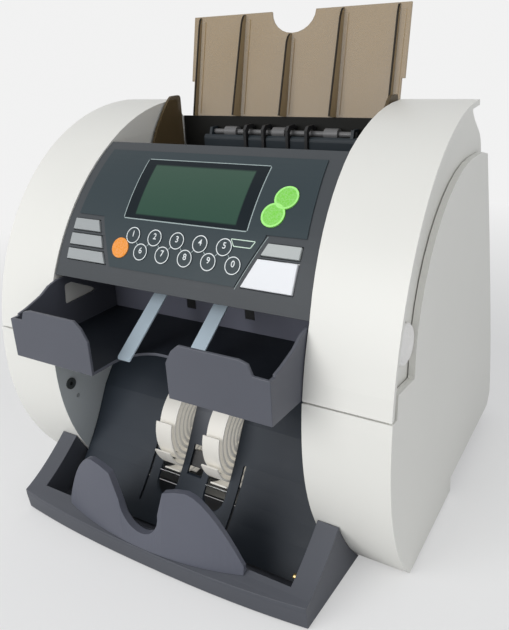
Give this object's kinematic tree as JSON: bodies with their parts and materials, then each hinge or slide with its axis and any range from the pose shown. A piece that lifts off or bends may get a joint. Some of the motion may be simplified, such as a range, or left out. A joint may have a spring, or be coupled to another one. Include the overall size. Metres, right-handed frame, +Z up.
{
  "type": "banknote sorter",
  "caption": "Desktop banknote sorter with a top note hopper, a curved keypad panel, a reject pocket, a stacker bay with turning wheels and a hinged upper module.",
  "frame": {"origin": "centre of the bounding box in plan, on the surface that the feet stand on", "axes": "+Z up, +Y to the rear of the machine, +X to the right as the operator sees it; the operator stands at -Y"},
  "size_m": [0.344, 0.327, 0.3739],
  "materials": {
    "bay_plastic": "fine moulded texture",
    "belt_rubber": "matte",
    "black_plastic": "fine moulded texture",
    "brass": "turned",
    "dark_plastic": "fine moulded texture",
    "display_glass": "clear, smooth",
    "display_green": "smooth",
    "grey_key": "fine moulded texture",
    "ground_steel": "plain, lightly brushed",
    "ivory_plastic": "fine moulded texture",
    "latch_plastic": "fine moulded texture",
    "lime_key": "smooth",
    "membrane": "fine moulded texture",
    "motor_steel": "plain, lightly brushed",
    "orange_key": "smooth",
    "pale_key": "fine moulded texture",
    "plated_steel": "plain, lightly brushed",
    "pocket_plastic": "fine moulded texture",
    "rest_plastic": "fine moulded texture",
    "shell": "fine moulded texture",
    "smoked_plastic": "smooth",
    "socket_plastic": "fine moulded texture",
    "soft_rubber": "matte",
    "strip_plastic": "smooth",
    "switch_plastic": "smooth"
  },
  "bodies": {
    "base": {"base_pan": "plated_steel", "base_tray": "dark_plastic", "drive_belt": "belt_rubber", "drive_motor": "motor_steel", "front_left_foot": "soft_rubber", "front_right_foot": "soft_rubber", "left_hinge_pin": "ground_steel", "left_lower_cover": "shell", "left_reject_strip": "strip_plastic", "left_side_frame": "plated_steel", "power_inlet": "black_plastic", "rear_cover": "shell", "rear_left_foot": "soft_rubber", "rear_right_foot": "soft_rubber", "reject_back_wall": "bay_plastic", "reject_pocket": "pocket_plastic", "reject_sensors": "black_plastic", "right_hinge_pin": "ground_steel", "right_lower_cover": "shell", "right_reject_strip": "strip_plastic", "right_side_frame": "plated_steel", "service_socket": "socket_plastic", "stack_rest": "rest_plastic", "stack_sensor": "black_plastic", "stacker_back_plate": "bay_plastic"},
    "upper": {"control_bezel": "dark_plastic", "keypad_membrane": "membrane", "menu_key": "orange_key", "round_keys": "lime_key", "display_window": "display_glass", "display_screen": "display_green", "hopper_bed": "bay_plastic", "hopper_rear_wall": "bay_plastic", "feed_fingers": "black_plastic", "rear_deck": "dark_plastic", "note_back_plate": "smoked_plastic", "guide_rail": "ground_steel", "left_upper_cover": "shell", "right_upper_cover": "shell"},
    "stacker": {"stacker_shaft": "ground_steel", "left_impeller": "ivory_plastic", "right_impeller": "ivory_plastic", "stacker_pulley": "brass"},
    "rotor": {"motor_shaft": "ground_steel", "motor_pulley": "brass"},
    "rocker": {"power_switch": "switch_plastic"},
    "feed": {"feed_shaft": "ground_steel", "left_feed_roller": "soft_rubber", "right_feed_roller": "soft_rubber"},
    "pickup": {"pickup_shaft": "ivory_plastic"},
    "left_guide": {"left_note_guide": "smoked_plastic"},
    "right_guide": {"right_note_guide": "smoked_plastic"},
    "left_latch": {"left_latch_button": "latch_plastic"},
    "right_latch": {"right_latch_button": "latch_plastic"},
    "left_key_1_cap": {"left_key_1": "grey_key"},
    "left_key_2_cap": {"left_key_2": "grey_key"},
    "left_key_3_cap": {"left_key_3": "grey_key"},
    "mode_key_cap": {"mode_key": "grey_key"},
    "start_key_cap": {"start_key": "pale_key"}
  },
  "joints": [
    {"name": "upper_hinge", "type": "hinge", "parent": "base", "child": "upper", "pos_m": [0, 0.079, 0.255], "axis": [-1, 0, 0], "range_deg": [0, 45]},
    {"name": "stacker_turn", "type": "hinge", "parent": "base", "child": "stacker", "pos_m": [0, -0.067, 0.061], "axis": [1, 0, 0], "continuous": true},
    {"name": "motor_turn", "type": "hinge", "parent": "base", "child": "rotor", "pos_m": [-0.129, 0.05, 0.056], "axis": [1, 0, 0], "continuous": true},
    {"name": "rocker_tilt", "type": "hinge", "parent": "base", "child": "rocker", "pos_m": [-0.068, 0.15332, 0.062], "axis": [-1, 0, 0], "range_deg": [0, 10]},
    {"name": "feed_turn", "type": "hinge", "parent": "upper", "child": "feed", "pos_m": [0, -0.005, 0.2168], "axis": [1, 0, 0], "continuous": true},
    {"name": "pickup_turn", "type": "hinge", "parent": "upper", "child": "pickup", "pos_m": [0, 0.057, 0.28], "axis": [1, 0, 0], "continuous": true},
    {"name": "left_guide_slide", "type": "slide", "parent": "upper", "child": "left_guide", "axis": [1, 0, 0], "range_m": [0, 0.024]},
    {"name": "right_guide_slide", "type": "slide", "parent": "upper", "child": "right_guide", "axis": [-1, 0, 0], "range_m": [0, 0.024]},
    {"name": "left_latch_press", "type": "slide", "parent": "upper", "child": "left_latch", "axis": [1, 0, 0], "range_m": [0, 0.003], "stiffness_N_per_m": 500, "springref_m": -0.001},
    {"name": "right_latch_press", "type": "slide", "parent": "upper", "child": "right_latch", "axis": [-1, 0, 0], "range_m": [0, 0.003], "stiffness_N_per_m": 500, "springref_m": -0.001},
    {"name": "left_key_1_press", "type": "slide", "parent": "upper", "child": "left_key_1_cap", "axis": [0, 0.8357, -0.5492], "range_m": [0, 0.001], "stiffness_N_per_m": 400, "springref_m": -0.001},
    {"name": "left_key_2_press", "type": "slide", "parent": "upper", "child": "left_key_2_cap", "axis": [0, 0.8691, -0.4946], "range_m": [0, 0.001], "stiffness_N_per_m": 400, "springref_m": -0.001},
    {"name": "left_key_3_press", "type": "slide", "parent": "upper", "child": "left_key_3_cap", "axis": [0, 0.8985, -0.4389], "range_m": [0, 0.001], "stiffness_N_per_m": 400, "springref_m": -0.001},
    {"name": "mode_key_press", "type": "slide", "parent": "upper", "child": "mode_key_cap", "axis": [0, 0.8415, -0.5402], "range_m": [0, 0.001], "stiffness_N_per_m": 400, "springref_m": -0.001},
    {"name": "start_key_press", "type": "slide", "parent": "upper", "child": "start_key_cap", "axis": [0, 0.8843, -0.4669], "range_m": [0, 0.001], "stiffness_N_per_m": 400, "springref_m": -0.001}
  ],
  "couplings": [
    {"joint": "motor_turn", "follows": "stacker_turn", "ratio": 1.5},
    {"joint": "right_guide_slide", "follows": "left_guide_slide", "ratio": 1}
  ]
}
